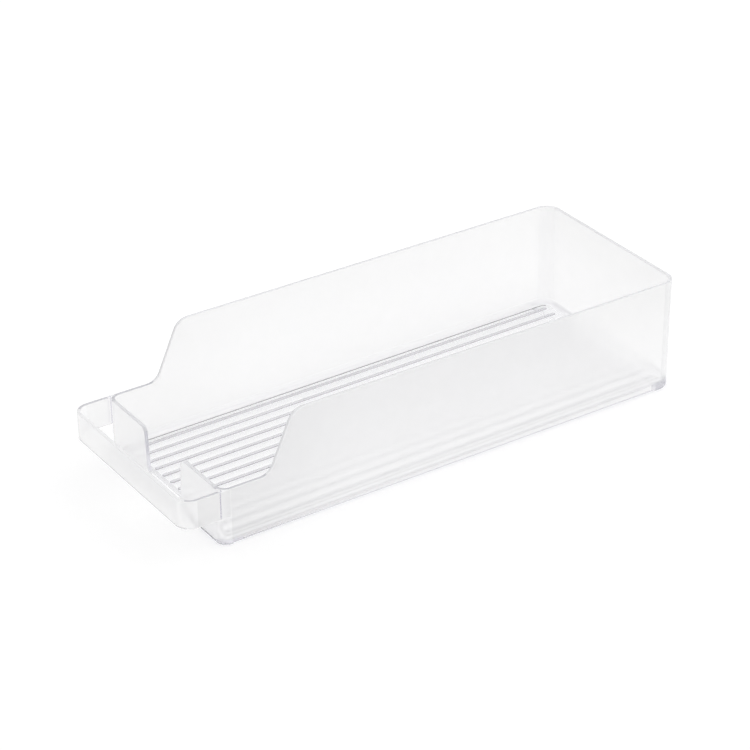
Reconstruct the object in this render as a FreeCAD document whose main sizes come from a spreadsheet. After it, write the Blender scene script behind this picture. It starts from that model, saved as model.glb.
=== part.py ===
"""A low, open kitchen bin moulded in frosted clear plastic, with a pull loop at its front end.

The tub is a long rounded box. Its side walls stand low beside the loop and sweep up in an S to
their full height. The front wall has a deep notch, and the floor falls gently towards it. Thirteen
long ribs lie on the floor, and a foot stands under each corner.

Frame: millimetres, +Z up, +Y from the loop to the rear wall. The origin is at the bottom centre of
the whole bin, on the plane that the feet stand on.
"""
import FreeCAD, Part
import math
import os
import Sketcher

VEC = FreeCAD.Vector
SHEET = "Sizes"
START = 1
END = 2
RIGHT_ANGLE = math.pi / 2
NEAR = 0.01

# Every driving size, in millimetres and degrees: alias, value, what it is.
SIZES = [
    ("bin_width", 111.0, "outside width"),
    ("tub_length", 279.5, "front wall to rear wall, outside"),
    ("loop_reach", 20.5, "how far the loop stands out from the front wall"),
    ("wall", 2.0, "wall thickness"),
    ("high_rim", 63.5, "height of the high rim"),
    ("low_rim", 31.7, "height of the low rim and of the loop"),
    ("skirt_bottom", 0.8, "height of the tub's lower edge above the ground"),
    ("rim_angle", 66.0, "steepness of the S between the rims"),
    ("rim_foot", 28.0, "where the slope would meet the low rim, from the front wall"),
    ("rim_low_radius", 8.0, "hollow curve at the bottom of the S"),
    ("rim_high_radius", 9.0, "round curve at the top of the S"),
    ("front_radius", 6.0, "vertical corners at the front"),
    ("rear_radius", 9.0, "vertical corners at the rear"),
    ("floor_front", 2.1, "top of the floor at the front wall"),
    ("floor_rear", 4.3, "top of the floor at the rear wall"),
    ("floor_thick", 1.3, "floor thickness"),
    ("cove", 3.2, "rounding between floor and walls"),
    ("base_edge", 0.7, "bevel of the tub's lower outside edge"),
    ("rim_edge", 0.4, "rounding of the tub's rim"),
    ("strip_edge", 0.3, "bevel of the loop's edges"),
    ("notch_top", 35.6, "notch width at the rim"),
    ("notch_base", 32.0, "notch width at its bottom"),
    ("notch_floor", 7.0, "height of the notch's bottom"),
    ("notch_radius", 4.0, "notch corners"),
    ("loop_bottom", 16.1, "lower edge of the loop"),
    ("loop_radius", 8.0, "outside corners of the loop"),
    ("loop_inset", 0.2, "how far the loop's arms stand in from the side walls"),
    ("rib_count", 13, "ribs on the floor"),
    ("rib_pitch", 7.67, "spacing of the ribs"),
    ("rib_width", 2.2, "width of a rib"),
    ("rib_rise", 0.5, "height of a rib above the floor"),
    ("rib_edge", 0.2, "bevel of a rib's upper edge"),
    ("rib_margin", 5.8, "end of the ribs to the end walls, inside"),
    ("foot_across", 24.0, "length of a foot across the bin"),
    ("front_foot", 7.0, "length of a front foot along the bin"),
    ("rear_foot", 11.5, "length of a rear foot along the bin"),
    ("recess_start", 12.0, "front edge of the hollow under the floor"),
]

# Sizes that follow from the ones above: alias, formula.
DERIVED = [
    ("half_width", "=bin_width / 2"),
    ("half_inner", "=half_width - wall"),
    ("front_face", "=-(tub_length - loop_reach) / 2"),
    ("rear_face", "=front_face + tub_length"),
    ("loop_face", "=front_face - loop_reach"),
    ("inner_front", "=front_face + wall"),
    ("inner_rear", "=rear_face - wall"),
    ("inner_front_radius", "=front_radius - wall"),
    ("inner_rear_radius", "=rear_radius - wall"),
    ("floor_tilt", "=atan((floor_rear - floor_front) / tub_length)"),
    ("arm_outer", "=half_width - loop_inset"),
    ("arm_inner", "=arm_outer - wall"),
    ("arm_end", "=front_face + front_radius + wall"),
    ("loop_inner_radius", "=loop_radius - wall"),
    ("rib_length", "=tub_length - 2 * wall - 2 * rib_margin"),
    ("rib_span", "=(rib_count - 1) * rib_pitch"),
    ("foot_outer", "=half_width - base_edge"),
    ("foot_side", "=half_width - foot_across"),
]


def make_sheet(doc):
    """Fill the spreadsheet with the driving sizes and the sizes that follow from them."""
    sheet = doc.addObject("Spreadsheet::Sheet", SHEET)
    notes = [(alias, str(number), note) for alias, number, note in SIZES]
    notes += [(alias, formula, alias.replace("_", " ")) for alias, formula in DERIVED]
    for row, (alias, content, note) in enumerate(notes, start=1):
        sheet.set("A%d" % row, note)
        sheet.set("B%d" % row, content)
        sheet.setAlias("B%d" % row, alias)
    doc.recompute()


def in_sheet(formula):
    """A formula with its {alias} words pointed at the sheet's cells."""
    return formula.replace("{", SHEET + ".").replace("}", "")


def bind(target, prop, formula):
    """Drive a property by a formula over the sheet's cells."""
    target.setExpression(prop, in_sheet(formula))


def value(thing, formula):
    """The present number of a formula over the sheet's cells."""
    number = thing.evalExpression(in_sheet(formula))
    return float(getattr(number, "Value", number))


# Bodies, planes and sketches


def new_body(doc, label):
    """A body that may hold several separate solids."""
    body = doc.addObject("PartDesign::Body", label)
    body.Label = label
    body.AllowCompound = True
    return body


def origin_part(body, role):
    """One of the body's own origin planes or axes."""
    return next(item for item in body.Origin.OriginFeatures if item.Role == role)


def tilted_plane(body, name, height):
    """A plane that rises to the rear as the floor does, from a height at the front wall."""
    plane = body.newObject("PartDesign::Plane", name)
    plane.AttachmentSupport = [(origin_part(body, "XY_Plane"), "")]
    plane.MapMode = "FlatFace"
    plane.AttachmentOffset = FreeCAD.Placement(VEC(), FreeCAD.Rotation(VEC(1, 0, 0), 1))
    bind(plane, "AttachmentOffset.Rotation.Angle", "{floor_tilt}")
    bind(plane, "AttachmentOffset.Base.y", "{front_face}")
    bind(plane, "AttachmentOffset.Base.z", height)
    return plane


def new_sketch(body, name, role, height=None):
    """A sketch on an origin plane of the body, moved along its normal by a formula."""
    sketch = body.newObject("Sketcher::SketchObject", name)
    sketch.AttachmentSupport = [(origin_part(body, role), "")]
    sketch.MapMode = "FlatFace"
    if height:
        bind(sketch, "AttachmentOffset.Base.z", height)
    return sketch


def limit(sketch, kind, geometry, formula, point=START):
    """Drive a radius, an angle or a point's distance from the sketch's origin by a formula."""
    number = value(sketch, formula)
    if kind in ("Radius", "Angle"):
        datum = math.radians(number) if kind == "Angle" else number
        sketch.addConstraint(Sketcher.Constraint(kind, geometry, datum))
    elif number < 0:
        formula = "-(" + formula + ")"
        sketch.addConstraint(Sketcher.Constraint(kind, geometry, point, -1, 1, -number))
    else:
        sketch.addConstraint(Sketcher.Constraint(kind, -1, 1, geometry, point, number))
    bind(sketch, "Constraints[%d]" % (sketch.ConstraintCount - 1), formula)


def add_line(sketch, start, end):
    """A straight line in the sketch's own two coordinates."""
    return sketch.addGeometry(Part.LineSegment(VEC(*start, 0), VEC(*end, 0)))


def add_arc(sketch, centre, radius, first, last):
    """An arc that runs anticlockwise between two angles given in right angles."""
    circle = Part.Circle(VEC(*centre, 0), VEC(0, 0, 1), radius)
    return sketch.addGeometry(Part.ArcOfCircle(circle, first * RIGHT_ANGLE, last * RIGHT_ANGLE))


def join(sketch, kind, first, first_end, second, second_end):
    """Join two ends, Coincident at a corner or Tangent where the outline runs on smoothly."""
    sketch.addConstraint(Sketcher.Constraint(kind, first, first_end, second, second_end))


def level(sketch, kind, *lines):
    """Hold lines Horizontal or Vertical."""
    for line in lines:
        sketch.addConstraint(Sketcher.Constraint(kind, line))


def rounded_box(sketch, half, near, far, near_radius, far_radius):
    """A box about the vertical axis, from near to far, with one radius at each end."""
    wide, low, high = (value(sketch, word) for word in (half, near, far))
    small, big = (value(sketch, word) for word in (near_radius, far_radius))
    front = add_line(sketch, (small - wide, low), (wide - small, low))
    front_right = add_arc(sketch, (wide - small, low + small), small, 3, 4)
    right = add_line(sketch, (wide, low + small), (wide, high - big))
    rear_right = add_arc(sketch, (wide - big, high - big), big, 0, 1)
    rear = add_line(sketch, (wide - big, high), (big - wide, high))
    rear_left = add_arc(sketch, (big - wide, high - big), big, 1, 2)
    left = add_line(sketch, (-wide, high - big), (-wide, low + small))
    front_left = add_arc(sketch, (small - wide, low + small), small, 2, 3)
    ring = [front, front_right, right, rear_right, rear, rear_left, left, front_left]
    for first, second in zip(ring, ring[1:] + ring[:1]):
        join(sketch, "Tangent", first, END, second, START)
    level(sketch, "Horizontal", front, rear)
    level(sketch, "Vertical", right, left)
    sketch.addConstraint(Sketcher.Constraint("Equal", front_right, front_left))
    sketch.addConstraint(Sketcher.Constraint("Equal", rear_right, rear_left))
    limit(sketch, "DistanceX", right, half)
    limit(sketch, "DistanceX", left, "-" + half)
    limit(sketch, "DistanceY", front, near)
    limit(sketch, "DistanceY", rear, far)
    limit(sketch, "Radius", front_right, near_radius)
    limit(sketch, "Radius", rear_right, far_radius)


def side_outline(sketch):
    """The tub from the side: level base, low rim, S curve, high rim and upright rear."""
    words = ("{front_face}", "{rear_face}", "{skirt_bottom}", "{low_rim}", "{high_rim}")
    front, rear, base, low, high = (value(sketch, word) for word in words)
    hollow_radius = value(sketch, "{rim_low_radius}")
    crest_radius = value(sketch, "{rim_high_radius}")
    turn = value(sketch, "{rim_angle}") / 90
    foot = front + value(sketch, "{rim_foot}")
    head = foot + (high - low) / math.tan(turn * RIGHT_ANGLE)
    bottom = add_line(sketch, (front, base), (rear, base))
    back = add_line(sketch, (rear, base), (rear, high))
    top = add_line(sketch, (rear, high), (head + crest_radius, high))
    crest = add_arc(sketch, (head + crest_radius, high - crest_radius), crest_radius, 1, 1 + turn)
    slope = add_line(sketch, (foot, low), (head, high))
    hollow = add_arc(sketch, (foot - hollow_radius, low + hollow_radius), hollow_radius, 3, 3 + turn)
    shelf = add_line(sketch, (foot - hollow_radius, low), (front, low))
    nose = add_line(sketch, (front, low), (front, base))
    meeting = sketch.addGeometry(Part.Point(VEC(foot, low, 0)), True)
    for first, second in ((bottom, back), (back, top), (shelf, nose), (nose, bottom)):
        join(sketch, "Coincident", first, END, second, START)
    join(sketch, "Tangent", top, END, crest, START)
    join(sketch, "Tangent", crest, END, slope, END)
    join(sketch, "Tangent", slope, START, hollow, END)
    join(sketch, "Tangent", hollow, START, shelf, START)
    level(sketch, "Horizontal", bottom, top, shelf)
    level(sketch, "Vertical", back, nose)
    for line in (slope, shelf):
        sketch.addConstraint(Sketcher.Constraint("PointOnObject", meeting, START, line))
    limit(sketch, "DistanceX", nose, "{front_face}")
    limit(sketch, "DistanceX", back, "{rear_face}")
    limit(sketch, "DistanceY", bottom, "{skirt_bottom}")
    limit(sketch, "DistanceY", shelf, "{low_rim}")
    limit(sketch, "DistanceY", top, "{high_rim}")
    limit(sketch, "DistanceX", meeting, "{front_face} + {rim_foot}")
    limit(sketch, "Radius", crest, "{rim_high_radius}")
    limit(sketch, "Radius", hollow, "{rim_low_radius}")
    limit(sketch, "Angle", slope, "{rim_angle}")


def notch_outline(sketch):
    """The notch in the front wall: narrower at its level bottom, open at the rim."""
    words = ("{notch_top} / 2", "{notch_base} / 2", "{notch_floor}", "{low_rim}")
    wide, narrow, low, high = (value(sketch, word) for word in words)
    bottom = add_line(sketch, (-narrow, low), (narrow, low))
    right = add_line(sketch, (narrow, low), (wide, high))
    top = add_line(sketch, (wide, high), (-wide, high))
    left = add_line(sketch, (-wide, high), (-narrow, low))
    ring = [bottom, right, top, left]
    for first, second in zip(ring, ring[1:] + ring[:1]):
        join(sketch, "Coincident", first, END, second, START)
    level(sketch, "Horizontal", bottom, top)
    limit(sketch, "DistanceX", bottom, "-{notch_base} / 2")
    limit(sketch, "DistanceX", right, "{notch_base} / 2")
    limit(sketch, "DistanceX", top, "{notch_top} / 2")
    limit(sketch, "DistanceX", left, "-{notch_top} / 2")
    limit(sketch, "DistanceY", bottom, "{notch_floor}")
    limit(sketch, "DistanceY", top, "{low_rim}")


def slot_outline(sketch, middle, width, near, far):
    """A slot that runs along the sketch's vertical axis, with half-round ends."""
    centre, low, high = (value(sketch, word) for word in (middle, near, far))
    radius = value(sketch, width) / 2
    right = add_line(sketch, (centre + radius, low + radius), (centre + radius, high - radius))
    far_end = add_arc(sketch, (centre, high - radius), radius, 0, 2)
    left = add_line(sketch, (centre - radius, high - radius), (centre - radius, low + radius))
    near_end = add_arc(sketch, (centre, low + radius), radius, 2, 4)
    ring = [right, far_end, left, near_end]
    for first, second in zip(ring, ring[1:] + ring[:1]):
        join(sketch, "Tangent", first, END, second, START)
    level(sketch, "Vertical", right, left)
    limit(sketch, "Radius", near_end, width + " / 2")
    limit(sketch, "DistanceX", right, middle + " + " + width + " / 2")
    limit(sketch, "DistanceY", right, near + " + " + width + " / 2")
    limit(sketch, "DistanceY", left, far + " - " + width + " / 2")


def corner_outline(sketch, outer, end, stop, radius):
    """A pad in the right-hand corner by one end wall, reaching along the bin to stop."""
    words = ("{foot_side}", outer, end, stop, radius)
    side, wide, edge, back, curve = (value(sketch, word) for word in words)
    if edge < back:
        centre = (wide - curve, edge + curve)
        rounding = add_arc(sketch, centre, curve, 3, 4)
        arc_end, arc_side = START, END
    else:
        centre = (wide - curve, edge - curve)
        rounding = add_arc(sketch, centre, curve, 0, 1)
        arc_end, arc_side = END, START
    along_end = add_line(sketch, (side, edge), (centre[0], edge))
    along_side = add_line(sketch, (wide, centre[1]), (wide, back))
    across = add_line(sketch, (wide, back), (side, back))
    inward = add_line(sketch, (side, back), (side, edge))
    join(sketch, "Tangent", along_end, END, rounding, arc_end)
    join(sketch, "Tangent", rounding, arc_side, along_side, START)
    join(sketch, "Coincident", along_side, END, across, START)
    join(sketch, "Coincident", across, END, inward, START)
    join(sketch, "Coincident", inward, END, along_end, START)
    level(sketch, "Horizontal", along_end, across)
    level(sketch, "Vertical", along_side, inward)
    limit(sketch, "DistanceX", inward, "{foot_side}")
    limit(sketch, "DistanceX", along_side, outer)
    limit(sketch, "DistanceY", along_end, end)
    limit(sketch, "DistanceY", across, stop)
    limit(sketch, "Radius", rounding, radius)


# Features


def finish_feature(body, feature, before, grows):
    """Recompute, and make sure that the feature added or took away material."""
    body.Document.recompute()
    change = feature.Shape.Volume - before
    if change < NEAR and grows or change > -NEAR and not grows:
        raise RuntimeError("%s left the volume of %s as it was" % (feature.Name, body.Label))
    return feature


def volume_of(body):
    """The body's volume so far, nothing for an empty body."""
    body.Document.recompute()
    return 0.0 if body.Shape.isNull() else body.Shape.Volume


def pad(body, name, sketch, length=None, up_to=None, both_ways=False):
    """Raise a sketch by a length, or as far as a plane."""
    before = volume_of(body)
    feature = body.newObject("PartDesign::Pad", name)
    feature.Profile = sketch
    if both_ways:
        feature.SideType = "Symmetric"
    if up_to:
        feature.Type = "UpToFace"
        feature.UpToFace = (up_to, [""])
    else:
        bind(feature, "Length", length)
    return finish_feature(body, feature, before, True)


def pocket(body, name, sketch, length=None, up_to=None, reverse=False):
    """Cut a sketch in by a length, as far as a plane, or right through."""
    before = volume_of(body)
    feature = body.newObject("PartDesign::Pocket", name)
    feature.Profile = sketch
    feature.Reversed = reverse
    if up_to:
        feature.Type = "UpToFace"
        feature.UpToFace = (up_to, [""])
    elif length:
        bind(feature, "Length", length)
    else:
        feature.Type = "ThroughAll"
    return finish_feature(body, feature, before, False)


def edges_on(body, test):
    """The last feature and the names of its edges whose ends and middle all pass a test."""
    body.Document.recompute()
    edges = enumerate(body.Tip.Shape.Edges, start=1)
    names = ["Edge%d" % number for number, edge in edges if all(map(test, edge.discretize(3)))]
    return body.Tip, names


def round_edges(body, name, radius, test):
    """Round every edge of the body so far that passes a test."""
    base = edges_on(body, test)
    fillet = body.newObject("PartDesign::Fillet", name)
    fillet.Base = base
    bind(fillet, "Radius", radius)
    body.Document.recompute()
    return fillet


def bevel_edges(body, name, bevel, test):
    """Bevel every edge of the body so far that passes a test."""
    base = edges_on(body, test)
    chamfer = body.newObject("PartDesign::Chamfer", name)
    chamfer.Base = base
    bind(chamfer, "Size", bevel)
    body.Document.recompute()
    return chamfer


def mirror(body, name, features):
    """Repeat features on the left of the bin."""
    feature = body.newObject("PartDesign::Mirrored", name)
    feature.Originals = features
    feature.MirrorPlane = (origin_part(body, "YZ_Plane"), [""])
    body.Tip = feature
    body.Document.recompute()
    return feature


def same(first, second):
    """Whether two lengths are equal, to a hundredth of a millimetre."""
    return abs(first - second) < NEAR


# Sub-parts


def make_tub(doc):
    """The tub: walls with the S-shaped rim, falling floor, front notch and hollow underside."""
    body = new_body(doc, "tub")
    profile = new_sketch(body, "TubProfile", "YZ_Plane")
    side_outline(profile)
    pad(body, "TubBlock", profile, "{bin_width}", both_ways=True)
    wide, front, rear = (value(body, word) for word in ("{half_width}", "{front_face}", "{rear_face}"))
    round_edges(body, "FrontCorners", "{front_radius}",
                lambda p: same(abs(p.x), wide) and same(p.y, front))
    round_edges(body, "RearCorners", "{rear_radius}",
                lambda p: same(abs(p.x), wide) and same(p.y, rear))
    hollow_tub(body)
    notch_front(body)
    hollow_underside(body)
    soften_tub(body)
    return body


def hollow_tub(body):
    """Hollow the block down to the falling floor, and cove the floor into the walls."""
    floor_top = tilted_plane(body, "FloorTop", "{floor_front}")
    inside = new_sketch(body, "TubInside", "XY_Plane", "{high_rim}")
    rounded_box(inside, "{half_inner}", "{inner_front}", "{inner_rear}",
                "{inner_front_radius}", "{inner_rear_radius}")
    pocket(body, "TubCavity", inside, up_to=floor_top)
    rear, floor = (value(body, word) for word in ("{inner_rear}", "{floor_rear}"))
    round_edges(body, "FloorCove", "{cove}", lambda p: same(p.y, rear) and p.z < floor)


def notch_front(body):
    """Cut the deep notch in the front wall, and round its corners at the rim and at the bottom."""
    outline = new_sketch(body, "NotchOutline", "XZ_Plane", "-{front_face}")
    notch_outline(outline)
    pocket(body, "NotchCut", outline, "{wall} + {cove}")
    words = ("{notch_top} / 2", "{low_rim}", "{notch_base} / 2", "{notch_floor}")
    top_half, rim, base_half, sill = (value(body, word) for word in words)

    def on_corner(point):
        """The four short edges that run through the front wall."""
        at_rim = same(abs(point.x), top_half) and same(point.z, rim)
        at_sill = same(abs(point.x), base_half) and same(point.z, sill)
        return at_rim or at_sill

    round_edges(body, "NotchCorners", "{notch_radius}", on_corner)


def hollow_underside(body):
    """Hollow the underside to an even floor, which leaves a skirt along the sides and the rear."""
    floor_under = tilted_plane(body, "FloorUnderside", "{floor_front} - {floor_thick}")
    outline = new_sketch(body, "UndersideOutline", "XY_Plane")
    rounded_box(outline, "{half_inner}", "{front_face} + {recess_start}", "{inner_rear}",
                "{inner_front_radius}", "{inner_rear_radius}")
    pocket(body, "UndersideHollow", outline, up_to=floor_under, reverse=True)


def soften_tub(body):
    """Bevel the lower outside edge, and round the rim all the way round and through the notch."""
    words = ("{skirt_bottom}", "{high_rim}", "{rear_face}", "{inner_rear}")
    base, rim, rear, inner_rear = (value(body, word) for word in words)
    bevel_edges(body, "BaseEdge", "{base_edge}", lambda p: same(p.z, base) and same(p.y, rear))
    round_edges(body, "RimEdges", "{rim_edge}",
                lambda p: same(p.z, rim) and (same(p.y, rear) or same(p.y, inner_rear)))


def make_loop(doc):
    """The pull loop: a bent strip whose arms end on the tub's front corners."""
    body = new_body(doc, "handle_loop")
    outside = new_sketch(body, "LoopOutside", "XY_Plane", "{loop_bottom}")
    rounded_box(outside, "{arm_outer}", "{loop_face}", "{arm_end}", "{loop_radius}", "{wall}")
    pad(body, "LoopBlock", outside, "{low_rim} - {loop_bottom}")
    inside = new_sketch(body, "LoopInside", "XY_Plane", "{low_rim}")
    rounded_box(inside, "{arm_inner}", "{loop_face} + {wall}", "{arm_end} - {wall}",
                "{loop_inner_radius}", "{wall}")
    pocket(body, "LoopOpening", inside)
    tub = new_sketch(body, "TubOutline", "XY_Plane", "{low_rim}")
    rounded_box(tub, "{half_width}", "{front_face}", "{rear_face}", "{front_radius}", "{rear_radius}")
    pocket(body, "ArmEnds", tub)
    words = ("{loop_bottom}", "{low_rim}", "{loop_face}", "{loop_face} + {wall}")
    low, high, outer, inner = (value(body, word) for word in words)
    bevel_edges(body, "StripEdges", "{strip_edge}",
                lambda p: (same(p.z, low) or same(p.z, high)) and (same(p.y, outer) or same(p.y, inner)))
    return body


def make_ribs(doc):
    """The ribs on the floor: one slot-shaped rib, repeated across the bin."""
    body = new_body(doc, "floor_ribs")
    outline = new_sketch(body, "RibOutline", "XY_Plane")
    slot_outline(outline, "-{rib_span} / 2", "{rib_width}", "{wall} + {rib_margin}",
                 "{wall} + {rib_margin} + {rib_length}")
    rib = pad(body, "Rib", outline, "{rib_rise}")
    row = body.newObject("PartDesign::LinearPattern", "RibRow")
    row.Originals = [rib]
    row.Direction = (origin_part(body, "X_Axis"), [""])
    bind(row, "Length", "{rib_span}")
    bind(row, "Occurrences", "{rib_count}")
    body.Tip = row
    doc.recompute()
    rise = value(body, "{rib_rise}")
    bevel_edges(body, "RibEdges", "{rib_edge}", lambda p: same(p.z, rise))
    body.Placement = FreeCAD.Placement(VEC(), FreeCAD.Rotation(VEC(1, 0, 0), 1))
    bind(body, "Placement.Rotation.Angle", "{floor_tilt}")
    bind(body, "Placement.Base.y", "{front_face}")
    bind(body, "Placement.Base.z", "{floor_front}")
    return body


def make_front_feet(doc):
    """The two front feet: thin pads under the corners, just inside the tub's rounded edge."""
    body = new_body(doc, "front_feet")
    outline = new_sketch(body, "FrontFootOutline", "XY_Plane")
    corner_outline(outline, "{foot_outer}", "{front_face} + {base_edge}",
                   "{front_face} + {front_foot}", "{front_radius} - {base_edge}")
    foot = pad(body, "FrontFoot", outline, "{skirt_bottom}")
    mirror(body, "FrontFeet", [foot])
    return body


def make_rear_feet(doc):
    """The two rear feet: pads under the skirt, with blocks that fill the hollow's corners."""
    body = new_body(doc, "rear_feet")
    outline = new_sketch(body, "RearFootOutline", "XY_Plane")
    corner_outline(outline, "{foot_outer}", "{rear_face} - {base_edge}",
                   "{rear_face} - {rear_foot}", "{rear_radius} - {base_edge}")
    foot = pad(body, "RearFoot", outline, "{skirt_bottom}")
    floor_under = tilted_plane(body, "FloorUnderside", "{floor_front} - {floor_thick}")
    block_outline = new_sketch(body, "RearBlockOutline", "XY_Plane")
    corner_outline(block_outline, "{half_inner}", "{inner_rear}", "{rear_face} - {rear_foot}",
                   "{inner_rear_radius}")
    block = pad(body, "RearBlock", block_outline, up_to=floor_under)
    mirror(body, "RearFeet", [foot, block])
    return body


def check_document(doc, bodies):
    """Stop if any object of the document failed or any sub-part is empty or broken."""
    doc.recompute()
    for item in doc.Objects:
        if "Invalid" in item.State or "Error" in item.State:
            raise RuntimeError("%s failed: %s" % (item.Name, item.State))
    for body in bodies:
        if body.Shape.isNull() or not body.Shape.isValid():
            raise RuntimeError("%s has no sound shape" % body.Label)


def main():
    """Build every sub-part and write each one to its own file."""
    doc = FreeCAD.newDocument("KitchenBin")
    make_sheet(doc)
    bodies = [
        make_tub(doc),
        make_loop(doc),
        make_ribs(doc),
        make_front_feet(doc),
        make_rear_feet(doc),
    ]
    check_document(doc, bodies)
    os.makedirs("parts", exist_ok=True)
    for body in bodies:
        body.Shape.exportStep("parts/%s.step" % body.Label)
        box = body.Shape.BoundBox
        print("%s: %d solids, %.0f mm3, z %.2f to %.2f"
              % (body.Label, len(body.Shape.Solids), body.Shape.Volume, box.ZMin, box.ZMax))


main()
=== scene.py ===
"""The looks of a low, open fridge bin, moulded in one shot of frosted, faintly lavender plastic.

The tub's wall, the pull loop, the floor ribs and the feet are built as closed shapes that run
into each other, and then united into one moulding without inner faces, because light passes
through the real bin as through a single piece.

Frame: metres, +Z up, +Y from the loop to the rear wall, the origin at the bottom centre.
"""

import logging
import math
from dataclasses import dataclass, replace
from enum import Enum
from typing import Any, Callable, Iterator, Mapping, Sequence

import bmesh
import bpy
from bpy.types import Material, MeshPolygon, Node, NodeSocket, NodeTree, Object
from mathutils import Matrix, Vector

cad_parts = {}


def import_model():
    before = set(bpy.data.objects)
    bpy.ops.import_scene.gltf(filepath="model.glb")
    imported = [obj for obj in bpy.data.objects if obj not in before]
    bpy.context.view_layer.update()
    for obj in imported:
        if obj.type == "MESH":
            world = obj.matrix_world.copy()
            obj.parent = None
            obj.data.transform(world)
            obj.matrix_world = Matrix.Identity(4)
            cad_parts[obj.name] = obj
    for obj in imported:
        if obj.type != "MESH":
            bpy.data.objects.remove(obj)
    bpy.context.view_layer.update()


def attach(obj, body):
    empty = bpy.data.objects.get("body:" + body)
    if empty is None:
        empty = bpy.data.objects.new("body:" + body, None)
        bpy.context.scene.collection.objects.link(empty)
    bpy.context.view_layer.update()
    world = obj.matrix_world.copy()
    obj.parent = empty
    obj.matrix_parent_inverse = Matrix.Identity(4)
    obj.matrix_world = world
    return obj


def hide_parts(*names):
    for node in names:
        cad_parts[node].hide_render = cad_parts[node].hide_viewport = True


LOG = logging.getLogger("fridge_bin")
MM = 0.001
QUARTER_TURN = math.pi / 2
SHARPEST = 0.2 * MM
SAME_POINT = 0.0005 * MM
ZONE_MARK = "zone"
MILK_MARK = "milk"
FROST_MARK = "frost"
SHADE_MARK = "shade"
BLACK = (0, 0, 0, 1)
WHITE = (1, 1, 1, 1)
WALL_SHADE = (0.992, 0.99, 0.991)
CLEAR_SHADE = (0.995, 0.995, 0.996)


# Shapes


class Zone(Enum):
    """The zones of the bin's surface, which get different milk, roughness and colour.

    Args:
        milk: How much of the surface scatters light like milk before it gets in.
        frost: Roughness.
        shade: Colour of light that crosses the surface, and of its milky part; in the darker zones
            this is painted shade, lines and bands that stand for refraction and shade.
    """

    milk: float
    frost: float
    shade: tuple[float, float, float]

    def __new__(cls, milk: float, frost: float, shade: tuple[float, float, float]) -> "Zone":
        """Number the zones in their order, and keep each one's finish."""
        zone = object.__new__(cls)
        zone._value_ = len(cls.__members__)
        zone.milk, zone.frost, zone.shade = milk, frost, shade
        return zone

    WALL = 0.40, 0.18, WALL_SHADE
    FLOOR = 0.03, 0.07, CLEAR_SHADE
    UNDERSIDE = 0.0, 0.08, CLEAR_SHADE
    COVE = 0.45, 0.12, CLEAR_SHADE
    # COVE_END: painted shade, a dark line where the cove meets the floor along the long sides.
    COVE_END = 0.0, 0.10, (0.16, 0.16, 0.165)
    # RIM, LOW_RIM and HIGH_RIM: painted shade, darker lines along the rim's top.
    RIM = 0.4, 0.14, (0.82, 0.82, 0.83)
    LOW_RIM = 0.5, 0.14, (0.58, 0.578, 0.605)
    HIGH_RIM = 0.45, 0.14, (0.92, 0.92, 0.925)
    # NOTCH: painted shade on the notch's sides.
    NOTCH = 0.3, 0.12, (0.93, 0.925, 0.97)
    SILL = 0.2, 0.14, CLEAR_SHADE
    # BASE, BASE_LINE, HEEL and CORNER: painted shade, a dark band along the bottom edge with the
    # plastic's lavender, darker heels beside the upright corners and darker rear corners outside.
    BASE = 0.0, 0.14, (0.74, 0.73, 0.80)
    BASE_LINE = 0.0, 0.14, (0.66, 0.655, 0.69)
    HEEL = 0.4, 0.15, (0.86, 0.852, 0.888)
    CORNER = 0.40, 0.18, (0.92, 0.92, 0.925)
    # FLOOR_LINE: a faint painted shade line on the outer wall, at the height of the floor inside.
    FLOOR_LINE = 0.5, 0.17, (0.985, 0.985, 0.988)
    # RIB_TOP and RIB_SIDE: painted shade on the ribs, their sides darker than their tops.
    RIB_TOP = 0.0, 0.10, (0.575, 0.572, 0.60)
    RIB_SIDE = 0.0, 0.10, (0.48, 0.475, 0.51)
    LOOP = 0.40, 0.18, WALL_SHADE
    # FRONT_STEP: painted shade on the floor by the front wall.
    FRONT_STEP = 0.1, 0.10, (0.78, 0.78, 0.79)
    # STRIP_FOOT, ARM_EDGE and JOINT: painted shade along the strip's lower edge at the front, along
    # the arms' tops and where the arms meet the tub.
    STRIP_FOOT = 0.05, 0.14, (0.74, 0.74, 0.745)
    ARM_EDGE = 0.5, 0.14, (0.58, 0.577, 0.605)
    JOINT = 0.15, 0.14, (0.68, 0.67, 0.75)
    FOOT = 0.0, 0.16, (0.98, 0.979, 0.988)
    # SKIRT: much milkier, so the skirt below the floor shows as a light band: painted light.
    SKIRT = 0.7, 0.16, CLEAR_SHADE
    # FRONT_HEEL: painted shade, lighter than the rear heels.
    FRONT_HEEL = 0.5, 0.15, (0.94, 0.93, 0.975)


class Stretch(Enum):
    """The stretches of a rounded box's right half, seen from above, from front to rear."""

    FRONT = 0
    FRONT_CORNER = 1
    SIDE = 2
    REAR_CORNER = 3
    REAR = 4


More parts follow.
